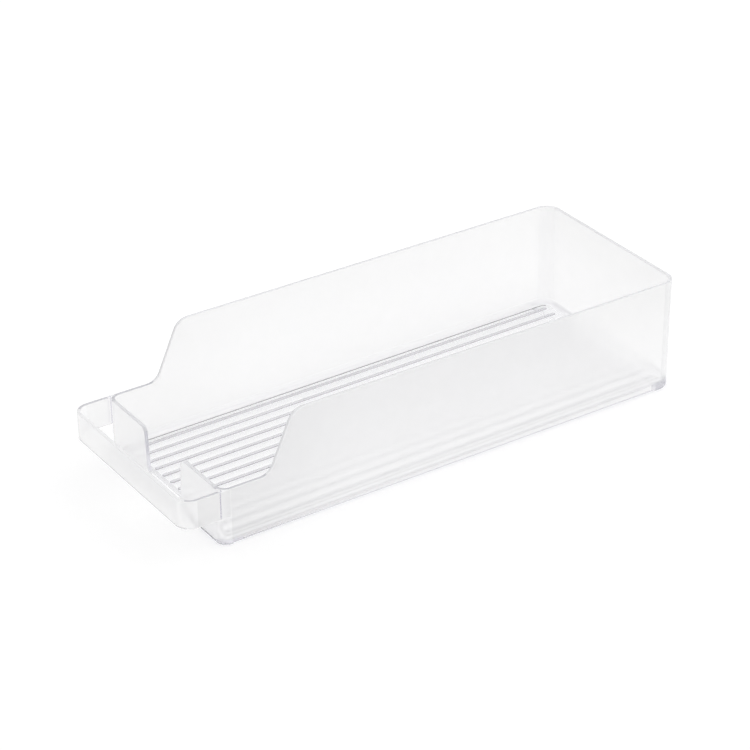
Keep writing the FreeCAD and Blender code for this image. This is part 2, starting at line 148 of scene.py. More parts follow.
@dataclass(frozen=True)
class Plan:
    """A box with rounded upright corners, seen from above.

    Args:
        half_width: Half the width across X.
        front: Y of the front face.
        rear: Y of the rear face.
        front_radius: Radius of the front corners.
        rear_radius: Radius of the rear corners.
    """

    half_width: float
    front: float
    rear: float
    front_radius: float
    rear_radius: float

    def inset(self, depth: float) -> "Plan":
        """The same box, moved inwards all round by a depth, its corners never quite sharp."""
        return Plan(self.half_width - depth, self.front + depth, self.rear - depth,
                    max(self.front_radius - depth, SHARPEST),
                    max(self.rear_radius - depth, SHARPEST))

    def length(self, stretch: Stretch) -> float:
        """How long a straight stretch is, or how far a corner turns."""
        if stretch is Stretch.FRONT:
            return self.half_width - self.front_radius
        if stretch is Stretch.SIDE:
            return self.rear - self.rear_radius - self.front - self.front_radius
        if stretch is Stretch.REAR:
            return self.half_width - self.rear_radius
        return QUARTER_TURN

    def at(self, stretch: Stretch, share: float) -> tuple[Vector, Vector]:
        """A point on the outline and the direction in which the outline runs there.

        Args:
            stretch: Which stretch of the right half.
            share: How far along the stretch, from 0 to 1.

        Returns:
            The point and the unit direction, both level.
        """
        run = self.length(stretch) * share
        if stretch is Stretch.FRONT:
            return Vector((run, self.front, 0)), Vector((1, 0, 0))
        if stretch is Stretch.SIDE:
            ahead = self.front + self.front_radius + run
            return Vector((self.half_width, ahead, 0)), Vector((0, 1, 0))
        if stretch is Stretch.REAR:
            left = self.half_width - self.rear_radius - run
            return Vector((left, self.rear, 0)), Vector((-1, 0, 0))
        if stretch is Stretch.FRONT_CORNER:
            radius, turn = self.front_radius, run - QUARTER_TURN
            middle = self.front + radius
        else:
            radius, turn = self.rear_radius, run
            middle = self.rear - radius
        outward = Vector((math.cos(turn), math.sin(turn), 0))
        centre = Vector((self.half_width - radius, middle, 0))
        return centre + outward * radius, Vector((-math.sin(turn), math.cos(turn), 0))


def rounded_path(corners: Sequence[tuple[float, float]], radii: Sequence[float], turn_step: float,
                 closed: bool = False) -> list[tuple[Vector, Vector]]:
    """A path of straight runs with an arc at each inner corner.

    Args:
        corners: The corners of the path before they are rounded.
        radii: One radius for each corner that is rounded.
        turn_step: The largest turn between two points of an arc, in radians.
        closed: Whether the path runs back to its start, so that every corner is rounded.

    Returns:
        Points of the path in order, each with the unit direction of the path there.
    """
    points = [Vector(corner) for corner in corners]
    path = [] if closed else [(points[0], (points[1] - points[0]).normalized())]
    inner = range(len(points)) if closed else range(1, len(points) - 1)
    for number, radius in zip(inner, radii):
        corner = points[number]
        before = (corner - points[number - 1]).normalized()
        after = (points[(number + 1) % len(points)] - corner).normalized()
        turn = math.atan2(before.x * after.y - before.y * after.x, before.dot(after))
        left = Vector((-before.y, before.x)) * math.copysign(1, turn)
        start = corner - before * radius * math.tan(abs(turn) / 2)
        steps = max(1, math.ceil(abs(turn) / turn_step))
        for step in range(steps + 1):
            angle = abs(turn) * step / steps
            onward, aside = before * radius * math.sin(angle), left * radius * (1 - math.cos(angle))
            path.append((start + onward + aside, before * math.cos(angle) + left * math.sin(angle)))
    if not closed:
        path.append((points[-1], (points[-1] - points[-2]).normalized()))
    return path


def mirrored(points: Sequence[Vector]) -> list[Vector]:
    """The points' mirror images on the other side of the bin."""
    return [Vector((-point.x, point.y, point.z)) for point in points]


def stitch(name: str, rings: Sequence[Sequence[Vector]], zones: Sequence[Zone]) -> Object:
    """A closed skin: rings of points joined ring to ring, with a face on the first and the last.

    Args:
        name: Name of the object.
        rings: Rings with the same number of points, in order along the skin.
        zones: Zone of the face on the first ring, of each band of faces, and of the last face.

    Returns:
        The object, with its faces turned outwards.
    """
    mesh = bmesh.new()
    layer = mesh.faces.layers.int.new(ZONE_MARK)
    loops = [[mesh.verts.new(point) for point in ring] for ring in rings]
    for lower, upper, zone in zip(loops, loops[1:], zones[1:]):
        for here in range(len(lower)):
            there = (here + 1) % len(lower)
            face = mesh.faces.new((lower[here], lower[there], upper[there], upper[here]))
            face[layer] = zone.value
    mesh.faces.new(reversed(loops[0]))[layer] = zones[0].value
    mesh.faces.new(loops[-1])[layer] = zones[-1].value
    bmesh.ops.remove_doubles(mesh, verts=mesh.verts, dist=SAME_POINT)
    bmesh.ops.recalc_face_normals(mesh, faces=mesh.faces)
    return to_object(name, mesh)


def to_object(name: str, mesh: bmesh.types.BMesh) -> Object:
    """Put finished mesh work into a new object at the origin."""
    data = bpy.data.meshes.new(name)
    mesh.to_mesh(data)
    mesh.free()
    made = bpy.data.objects.new(name, data)
    bpy.context.scene.collection.objects.link(made)
    return made


def freeze(source: Object) -> None:
    """Turn what an object's modifiers make into its plain mesh, and remove the modifiers."""
    graph = bpy.context.evaluated_depsgraph_get()
    data = bpy.data.meshes.new_from_object(source.evaluated_get(graph))
    source.modifiers.clear()
    source.data = data


def rezone(piece: Object, choose: Callable[[MeshPolygon, Zone], Zone]) -> None:
    """Give every face of a piece the zone that is chosen for it.

    Args:
        piece: An object whose faces have zones.
        choose: Picks a zone from a face and the zone that it has so far.
    """
    for face, mark in zip(piece.data.polygons, piece.data.attributes[ZONE_MARK].data):
        mark.value = choose(face, Zone(mark.value)).value


# Nodes


class Wire:
    """A number in a node tree. Working on it with + - * / adds the Math nodes."""

    def __init__(self, bench: "Bench", socket: NodeSocket) -> None:
        """Keep the socket and the bench that it belongs to."""
        self.bench = bench
        self.socket = socket

    def _math(self, operation: str, first: Any, second: Any) -> "Wire":
        """Add one Math node on two numbers or wires."""
        return self.bench.wire("ShaderNodeMath", {0: first, 1: second}, operation=operation)

    def __add__(self, other: Any) -> "Wire":
        """This wire plus a number or wire."""
        return self._math("ADD", self, other)

    __radd__ = __add__

    def __sub__(self, other: Any) -> "Wire":
        """This wire less a number or wire."""
        return self._math("SUBTRACT", self, other)

    def __rsub__(self, other: Any) -> "Wire":
        """A number less this wire."""
        return self._math("SUBTRACT", other, self)

    def __mul__(self, other: Any) -> "Wire":
        """This wire times a number or wire."""
        return self._math("MULTIPLY", self, other)

    __rmul__ = __mul__

    def __truediv__(self, other: Any) -> "Wire":
        """This wire over a number or wire."""
        return self._math("DIVIDE", self, other)

    def or_more(self, other: Any) -> "Wire":
        """The larger of this wire and a number or wire."""
        return self._math("MAXIMUM", self, other)


class Bench:
    """Adds nodes to one shader or geometry tree."""

    def __init__(self, tree: NodeTree) -> None:
        """Start with an empty tree."""
        self.tree = tree
        tree.nodes.clear()

    def add(self, kind: str, sockets: Mapping[str | int, Any] | None = None,
            **settings: Any) -> Node:
        """Add a node.

        Args:
            kind: The node's type.
            sockets: Values or links by socket name or number.
            settings: Its properties, set before its sockets.

        Returns:
            The node.
        """
        node = self.tree.nodes.new(kind)
        for name, setting in settings.items():
            setattr(node, name, setting)
        for name, content in (sockets or {}).items():
            source = content.socket if isinstance(content, Wire) else content
            if isinstance(source, NodeSocket):
                self.tree.links.new(source, node.inputs[name])
            else:
                node.inputs[name].default_value = source
        return node

    def wire(self, kind: str, sockets: Mapping[str | int, Any] | None = None,
             output: str | int = 0, **settings: Any) -> Wire:
        """Add a node and give one of its outputs as a wire."""
        return Wire(self, self.add(kind, sockets, **settings).outputs[output])

    def blend(self, factor: Any, first: Any, second: Any) -> Wire:
        """Add a colour Mix node from a factor and the colours at 0 and at 1."""
        sockets = {0: factor, 6: first, 7: second}
        return self.wire("ShaderNodeMix", sockets, output=2, data_type="RGBA")


def is_looked_at(bench: Bench) -> Wire:
    """1 for rays of the camera, of mirror images and of light seen through plastic, otherwise 0."""
    path = bench.add("ShaderNodeLightPath").outputs
    camera, glossy, through = (Wire(bench, path[f"Is {kind} Ray"])
                               for kind in ("Camera", "Glossy", "Transmission"))
    return camera.or_more(glossy).or_more(through)


def fade(bench: Bench, along: Wire, start: float, end: float) -> Wire:
    """A number that rises smoothly from 0 to 1 as another passes from start to end."""
    sockets = {"Value": along, "From Min": start, "From Max": end}
    return bench.wire("ShaderNodeMapRange", sockets, interpolation_type="SMOOTHSTEP")


def new_material(name: str) -> tuple[Material, Bench]:
    """An empty node material and its bench."""
    material = bpy.data.materials.new(name)
    material.use_nodes = True
    return material, Bench(material.node_tree)


# Finishes


@dataclass(frozen=True)
class FrostedPlastic:
    """Translucent frosted plastic, milky on its walls and clearer on its floor and ribs.

    Args:
        milk_cloud: How unevenly the milky scattering is spread, as a share of itself.
        loop_painted_shade: How much greyer the outer sides are at the loop's end.
        loop_fade: Where that painted greyness begins, along the tub, and where it is full.
        rim_painted_shade: How much greyer the plastic is at the high rim.
        rim_fade: Heights at which that painted greyness begins and is full.
        depth_tint: Colour of light after a long way through the plastic.
        depth: How fast the plastic takes that colour, per metre.
        grain: Size of the moulded grain.
        grain_height: Height of the moulded grain.
        grain_strength: Share of that height that shows.
        flow: Size of the faint clouds in the frosting.
        flow_detail: Octaves of those clouds.
        flow_roughness: How strong the finer octaves are.
        frost_cloud: How unevenly the roughness is spread, as a share of itself.
        index: Refractive index.
        milk_roughness: Roughness of the milky part's sheen.
        milk_sheen: Strength of the milky part's sheen.
        side_skin: Depth that counts as the tub's outer sides.
    """

    milk_cloud: float = 0.1
    # Painted shade: the outer sides grey towards the loop's end, and the plastic towards the high
    # rim.
    loop_painted_shade: float = 0.11
    loop_fade: tuple[float, float] = (-40 * MM, -128 * MM)
    rim_painted_shade: float = 0.035
    rim_fade: tuple[float, float] = (25 * MM, 65 * MM)
    depth_tint: tuple[float, float, float] = (0.80, 0.805, 0.83)
    depth: float = 12.0
    grain: float = 0.7 * MM
    grain_height: float = 0.02 * MM
    grain_strength: float = 0.08
    flow: float = 22 * MM
    flow_detail: float = 3.0
    flow_roughness: float = 0.55
    frost_cloud: float = 0.12
    index: float = 1.49
    milk_roughness: float = 0.6
    milk_sheen: float = 0.2
    side_skin: float = 1 * MM

    def make(self) -> Material:
        """Build the material, which reads the face attributes that lay_finish_and_painted_shade writes."""
        material, bench = new_material("frosted_plastic")
        place = bench.wire("ShaderNodeTexCoord", output="Object")
        clouds = bench.wire("ShaderNodeTexNoise", {
            "Vector": place, "Scale": 1 / self.flow, "Detail": self.flow_detail,
            "Roughness": self.flow_roughness})
        grain = bench.wire("ShaderNodeTexNoise", {"Vector": place, "Scale": 1 / self.grain})
        milk, frost = (bench.wire("ShaderNodeAttribute", output="Fac", attribute_name=mark)
                       for mark in (MILK_MARK, FROST_MARK))
        shade = self._painted_shade_by_place(bench, place)
        bump = bench.wire("ShaderNodeBump", {
            "Height": grain, "Strength": self.grain_strength, "Distance": self.grain_height})
        rough = frost * (1 - self.frost_cloud / 2 + self.frost_cloud * clouds)
        clear = bench.wire("ShaderNodeBsdfPrincipled", {
            "Base Color": shade, "Roughness": rough, "IOR": self.index,
            "Transmission Weight": 1.0, "Normal": bump})
        milky = bench.wire("ShaderNodeBsdfPrincipled", {
            "Base Color": shade, "Roughness": self.milk_roughness, "IOR": self.index,
            "Specular IOR Level": self.milk_sheen, "Normal": bump})
        from_inside = bench.wire("ShaderNodeNewGeometry", output="Backfacing")
        uneven = 1 - self.milk_cloud / 2 + self.milk_cloud * clouds
        surface = bench.wire("ShaderNodeMixShader",
                             {0: milk * uneven * (1 - from_inside), 1: clear, 2: milky})
        inside = bench.wire("ShaderNodeVolumeAbsorption",
                            {"Color": (*self.depth_tint, 1), "Density": self.depth})
        bench.add("ShaderNodeOutputMaterial", {"Surface": surface, "Volume": inside})
        return material

    def _painted_shade_by_place(self, bench: Bench, place: Wire) -> Wire:
        """The zone's colour, with painted shade: a little greyer near the high rim and on the outer
        sides by the loop.

        Args:
            bench: The bench of the material's tree.
            place: The point on the bin, in metres.

        Returns:
            The colour.
        """
        x, y, z = (bench.wire("ShaderNodeSeparateXYZ", {0: place}, axis) for axis in "XYZ")
        edge = TubShell.half_width ** 2
        outer = fade(bench, x * x, edge - self.side_skin ** 2, edge)
        by_loop = outer * fade(bench, y, *self.loop_fade)
        greyness = self.loop_painted_shade * by_loop + self.rim_painted_shade * fade(bench, z, *self.rim_fade)
        shade = bench.wire("ShaderNodeAttribute", output="Color", attribute_name=SHADE_MARK)
        return bench.blend(greyness, shade, BLACK)


def lay_finish_and_painted_shade(piece: Object) -> None:
    """Write each face's milk, roughness and colour, by its zone, into the attributes that the
    plastic reads; many zones' colours are painted shade.
    """
    data = piece.data
    zones = [Zone(mark.value) for mark in data.attributes[ZONE_MARK].data]
    milk, frost = (data.attributes.new(mark, "FLOAT", "FACE") for mark in (MILK_MARK, FROST_MARK))
    shade = data.attributes.new(SHADE_MARK, "FLOAT_VECTOR", "FACE")
    for face, zone in enumerate(zones):
        milk.data[face].value, frost.data[face].value = zone.milk, zone.frost
        shade.data[face].vector = zone.shade


@dataclass(frozen=True)
class StudioFloor:
    """A matt white floor that keeps the bin's soft shadow.

    Args:
        colour: Its grey.
        glow: Brightness added where it is seen, directly or through plastic, and not to its light.
        side: Length of its sides.
        drop: How far it lies below the feet.
    """

    colour: float = 0.9
    glow: float = 0.14
    side: float = 8.0
    drop: float = 0.05 * MM

    def make(self) -> None:
        """Build the floor and mark it as part of the stage."""
        half = self.side / 2
        mesh = bmesh.new()
        corners = [(-half, -half), (half, -half), (half, half), (-half, half)]
        mesh.faces.new([mesh.verts.new((x, y, -self.drop)) for x, y in corners])
        floor = to_object("studio_floor", mesh)
        material, bench = new_material("white_floor")
        surface = bench.wire("ShaderNodeBsdfPrincipled", {
            "Base Color": (self.colour, self.colour, self.colour, 1), "Roughness": 1.0,
            "Specular IOR Level": 0.0, "Emission Strength": self.glow,
            "Emission Color": bench.blend(is_looked_at(bench), BLACK, WHITE)})
        bench.add("ShaderNodeOutputMaterial", {"Surface": surface})
        floor.data.materials.append(material)


# Sub-assemblies


@dataclass(frozen=True)
class Station:
    """One upright slice through the tub's wall.

    Args:
        stretch: The stretch of the plan that it stands on.
        share: How far along that stretch, from 0 to 1.
        rim: Height of the rim.
        lean: How the rim's upward direction leans along the wall, and its upright part.
    """

    stretch: Stretch
    share: float
    rim: float
    lean: tuple[float, float] = (0.0, 1.0)


@dataclass(frozen=True)
class TubShell:
    """The tub: walls with an S-shaped rim, front notch, falling floor and hollow underside."""

    half_width: float = 55.5 * MM
    front: float = -129.5 * MM
    rear: float = 150 * MM
    wall: float = 2 * MM
    front_radius: float = 6 * MM
    rear_radius: float = 9 * MM
    high_rim: float = 63.5 * MM
    low_rim: float = 31.7 * MM
    rim_angle: float = math.radians(66)
    rim_foot: float = 28 * MM
    rim_low_radius: float = 8 * MM
    rim_high_radius: float = 9 * MM
    rim_edge: float = 0.4 * MM
    notch_half_top: float = 17.8 * MM
    notch_half_base: float = 16 * MM
    notch_sill: float = 7 * MM
    notch_radius: float = 4 * MM
    floor_front: float = 2.1 * MM
    floor_rear: float = 4.3 * MM
    floor_thick: float = 1.3 * MM
    cove: float = 3.2 * MM
    skirt_bottom: float = 0.8 * MM
    base_edge: float = 0.7 * MM
    recess_start: float = 12 * MM
    # base_band, heel, floor_line, floor_line_width, cove_line and front_step size the bands of
    # faces that carry painted shade and painted light.
    base_band: float = 0.5 * MM
    heel: float = 6 * MM
    floor_line: float = 0.3 * MM
    floor_line_width: float = 0.7 * MM
    cove_line: float = 0.9 * MM
    front_step: float = 2.6 * MM
    flat_rim: float = 0.05
    same_height: float = 1 * MM
    arc_step: float = math.radians(7)
    edge_steps: int = 4
    cove_steps: int = 7

    @property
    def plan(self) -> Plan:
        """The tub's outside, seen from above."""
        return Plan(self.half_width, self.front, self.rear, self.front_radius, self.rear_radius)

    @property
    def recess(self) -> Plan:
        """The hollow under the floor, seen from above."""
        walls = self.plan.inset(self.wall)
        return replace(walls, front=self.front + self.recess_start)

    def floor_at(self, y: float) -> float:
        """Height of the floor's upper side, which rises to the rear."""
        share = (y - self.front) / (self.rear - self.front)
        return self.floor_front + (self.floor_rear - self.floor_front) * share

    def stations(self) -> list[Station]:
        """The slices of the right half, from the middle of the front to the middle of the rear."""
        plan = self.plan
        half_front = plan.length(Stretch.FRONT)
        notch = [(0, self.notch_sill), (self.notch_half_base, self.notch_sill),
                 (self.notch_half_top, self.low_rim), (half_front, self.low_rim)]
        slope = (self.high_rim - self.low_rim) / math.tan(self.rim_angle)
        foot = self.front + self.rim_foot
        side = [(self.front + self.front_radius, self.low_rim), (foot, self.low_rim),
                (foot + slope, self.high_rim), (self.rear - self.rear_radius, self.high_rim)]
        found = []
        for point, along in rounded_path(notch, [self.notch_radius] * 2, self.arc_step):
            found.append(Station(Stretch.FRONT, point.x / half_front, point.y, (-along.y, along.x)))
        found += self._corner(Stretch.FRONT_CORNER, self.low_rim)
        radii = [self.rim_low_radius, self.rim_high_radius]
        path = rounded_path(side, radii, self.arc_step)
        heel = Vector((self.heel, 0))
        path.insert(1, (path[0][0] + heel, path[0][1]))
        path.insert(-1, (path[-1][0] - heel, path[-1][1]))
        for point, along in path:
            share = (point.x - side[0][0]) / plan.length(Stretch.SIDE)
            found.append(Station(Stretch.SIDE, share, point.y, (-along.y, along.x)))
        found += self._corner(Stretch.REAR_CORNER, self.high_rim)
        found.append(Station(Stretch.REAR, 0.0, self.high_rim))
        found.append(Station(Stretch.REAR, 1.0, self.high_rim))
        return found

    def _corner(self, stretch: Stretch, rim: float) -> list[Station]:
        """The slices inside one upright corner, without its two ends."""
        steps = math.ceil(QUARTER_TURN / self.arc_step)
        return [Station(stretch, step / steps, rim) for step in range(1, steps)]

    def ring(self, place: Callable[[Station], Vector]) -> list[Vector]:
        """One closed ring of points, from the right half's slices and their mirror image."""
        right = [place(station) for station in self.stations()]
        return right + mirrored(right[-2:0:-1])

    def rim_point(self, depth: float, rise: float) -> Callable[[Station], Vector]:
        """Points that follow the rim at a depth inside the outer face and a rise above the rim."""
        plan = self.plan.inset(depth)

        def place(station: Station) -> Vector:
            """The point on one slice."""
            foot, along = plan.at(station.stretch, station.share)
            sideways, upright = station.lean
            return foot + along * sideways * rise + Vector((0, 0, station.rim + upright * rise))

        return place

    def level_point(self, plan: Plan,
                    height: Callable[[float], float]) -> Callable[[Station], Vector]:
        """Points on a plan's outline at a height that may change along the tub."""

        def place(station: Station) -> Vector:
            """The point on one slice."""
            foot = plan.at(station.stretch, station.share)[0]
            return foot + Vector((0, 0, height(foot.y)))

        return place

    def build(self) -> Object:
        """Stitch the shell from the hollow underside, up the outside, over the rim to the floor."""
        under = self.level_point(self.recess, lambda y: self.floor_at(y) - self.floor_thick)
        places = [under, self.level_point(self.recess, lambda y: self.skirt_bottom)]
        zones = [Zone.UNDERSIDE] * 2 + [Zone.FOOT]
        for step in range(self.edge_steps + 1):
            angle = QUARTER_TURN * step / self.edge_steps
            inward = self.base_edge * (1 - math.sin(angle))
            height = self.skirt_bottom + self.base_edge * (1 - math.cos(angle))
            places.append(self.level_point(self.plan.inset(inward), lambda y, z=height: z))
        band_top = self.skirt_bottom + self.base_edge + self.base_band
        line_low, line_high = self.floor_line, self.floor_line + self.floor_line_width
        places += [self.level_point(self.plan, height) for height in (
            lambda y: band_top, lambda y: self.floor_at(y) + line_low,
            lambda y: self.floor_at(y) + line_high)]
        zones += [Zone.BASE] * self.edge_steps
        zones += [Zone.BASE_LINE, Zone.SKIRT, Zone.FLOOR_LINE, Zone.WALL]
        for side in (0, 1):
            for step in range(self.edge_steps + 1):
                angle = QUARTER_TURN * step / self.edge_steps + side * QUARTER_TURN
                across = self.rim_edge * (1 - math.cos(angle))
                depth = across + side * (self.wall - 2 * self.rim_edge)
                places.append(self.rim_point(depth, self.rim_edge * (math.sin(angle) - 1)))
        zones += [Zone.RIM] * (2 * self.edge_steps + 1) + [Zone.WALL]
        for step in range(self.cove_steps + 1):
            angle = QUARTER_TURN * step / self.cove_steps
            inward = self.plan.inset(self.wall + self.cove * (1 - math.cos(angle)))
            rise = self.cove * (1 - math.sin(angle))
            places.append(self.level_point(inward, lambda y, up=rise: self.floor_at(y) + up))
        cove_end = self.plan.inset(self.wall + self.cove + self.cove_line)
        inward = replace(cove_end, front=cove_end.front + self.front_step - self.cove_line)
        places.append(self.level_point(inward, self.floor_at))
        zones += [Zone.COVE] * self.cove_steps + [Zone.COVE_END, Zone.FLOOR]
        shell = stitch("tub_shell", [self.ring(place) for place in places], zones)
        rezone(shell, self.finer_zone)
        return shell

    def finer_zone(self, face: MeshPolygon, zone: Zone) -> Zone:
        """The zone of a face of the shell, by where the face lies within its band of faces."""
        if zone is Zone.RIM:
            zone = self.rim_zone(face)
        elif zone is Zone.COVE_END:
            zone = self.cove_end_zone(face)
        if zone in (Zone.BASE_LINE, Zone.SKIRT, Zone.FLOOR_LINE, Zone.WALL):
            zone = self.wall_zone(face, zone)
        return zone

    def rim_zone(self, face: MeshPolygon) -> Zone:
        """Tell apart the rim's faces: notch sides, notch sill, low side rims and high rims; the
        notch sides and the rims get painted shade.
        """
        side_start = self.half_width - self.front_radius
        x, height = abs(face.center.x), face.center.z
        if x > side_start and face.normal.x ** 2 > self.flat_rim:
            return Zone.WALL
        if x < self.notch_half_top and height < self.low_rim - self.same_height:
            return Zone.SILL if height < self.notch_sill + self.same_height else Zone.NOTCH
        if height > self.low_rim + self.same_height:
            return Zone.HIGH_RIM
        return Zone.LOW_RIM if x > side_start else Zone.RIM

    def cove_end_zone(self, face: MeshPolygon) -> Zone:
        """Keep the painted dark line at the cove's end to the tub's long sides: at its ends it runs
        out softly, and the floor by the front wall gets its own painted shade.
        """
        floor_side = self.half_width - self.wall - self.cove - 2 * self.cove_line
        if abs(face.center.x) > floor_side:
            return Zone.COVE_END
        return Zone.FRONT_STEP if face.center.y < self.front + self.recess_start else Zone.FLOOR

    def wall_zone(self, face: MeshPolygon, zone: Zone) -> Zone:
        """Tell apart the solid heels beside the upright corners, and the rear corners outside,
        which get painted shade.
        """
        x, y, height = abs(face.center.x), face.center.y, face.center.z
        front, rear, aside = y - self.front, self.rear - y, self.half_width - x
        is_outside = face.normal.dot(face.center) > 0
        at_rear = x > self.half_width - self.rear_radius and rear < self.rear_radius
        beside = min(front - self.front_radius, rear - self.rear_radius) < self.heel
        low = height < self.floor_at(y) + self.floor_line + self.floor_line_width
        if low and aside < self.rear_radius and beside:
            return Zone.FRONT_HEEL if y < 0 else Zone.HEEL
        return Zone.CORNER if at_rear and is_outside else zone


@dataclass(frozen=True)
class HandleLoop:
    """The pull loop: a strip that runs out of one front corner of the tub and into the other."""

    half_width: float = 55.5 * MM
    face: float = -150 * MM
    radius: float = 8 * MM
    wall: float = 2 * MM
    bottom: float = 16.1 * MM
    top: float = 31.68 * MM
    arm_end: float = -123.9 * MM
    # joint, seam, their widths, bottom_band and flat_edge place the painted shade lines at the
    # joints, along the lower edge and on the upper edge.
    joint: float = -128.9 * MM
    joint_width: float = 0.8 * MM
    seam: float = -129.8 * MM
    seam_width: float = 0.6 * MM
    edge: float = 0.35 * MM
    bottom_band: float = 0.9 * MM
    flat_edge: float = 0.95
    end_depth: float = 1 * MM
    edge_steps: int = 4
    corner_turn: float = math.radians(91)
    arc_step: float = math.radians(7)

    def section(self) -> list[tuple[float, float]]:
        """Depth and height of the points round the strip's section."""
        corners = [(0, self.bottom), (0, self.top), (self.wall, self.top), (self.wall, self.bottom)]
        turn_step = self.corner_turn / self.edge_steps
        path = rounded_path(corners, [self.edge] * 4, turn_step, closed=True)
        points = [(point.x, point.y) for point, _ in path]
        points.insert(self.edge_steps + 1, (0.0, self.bottom + self.bottom_band))
        return points

    def build(self) -> Object:
        """Sweep the section from the right arm's end round the front to the left arm's end."""
        steps = math.ceil(QUARTER_TURN / self.arc_step)
        arm = self.arm_end - self.face - self.radius
        lines = (self.joint + self.joint_width, self.seam + self.seam_width, self.joint, self.seam)
        beside = [(y - self.face - self.radius) / arm for y in sorted(lines, reverse=True)]
        places = [(Stretch.SIDE, share) for share in (1.0, *beside, 0.0)]
        places += [(Stretch.FRONT_CORNER, 1 - step / steps) for step in range(1, steps)]
        places.append((Stretch.FRONT, 1.0))
        plans = [(Plan(self.half_width - depth, self.face + depth, self.arm_end,
                       self.radius - depth, 0.0), height) for depth, height in self.section()]
        right = [[plan.at(*place)[0] + Vector((0, 0, height)) for plan, height in plans]
                 for place in places]
        rings = right + [mirrored(ring) for ring in reversed(right)]
        strip = stitch("loop_strip", rings, [Zone.LOOP] * (len(rings) + 1))
        rezone(strip, self.edge_zone)
        return strip

    def edge_zone(self, face: MeshPolygon, zone: Zone) -> Zone:
        """Tell apart the strip's upper and lower edges, and its joints with the tub, which get
        painted shade lines.
        """
        low, high = self.bottom + self.bottom_band, self.top - self.edge
        x, y, height = abs(face.center.x), face.center.y, face.center.z
        is_arm = y > self.face + self.wall + self.end_depth
        if height > high and y < self.seam and face.normal.z > self.flat_edge:
            return Zone.ARM_EDGE if is_arm else Zone.HIGH_RIM
        if height < low:
            return zone if is_arm else Zone.STRIP_FOOT
        if x < self.half_width - self.wall / 2:
            start, width = self.joint, self.joint_width
        else:
            start, width = self.seam, self.seam_width
        return Zone.JOINT if start < y < start + width else zone


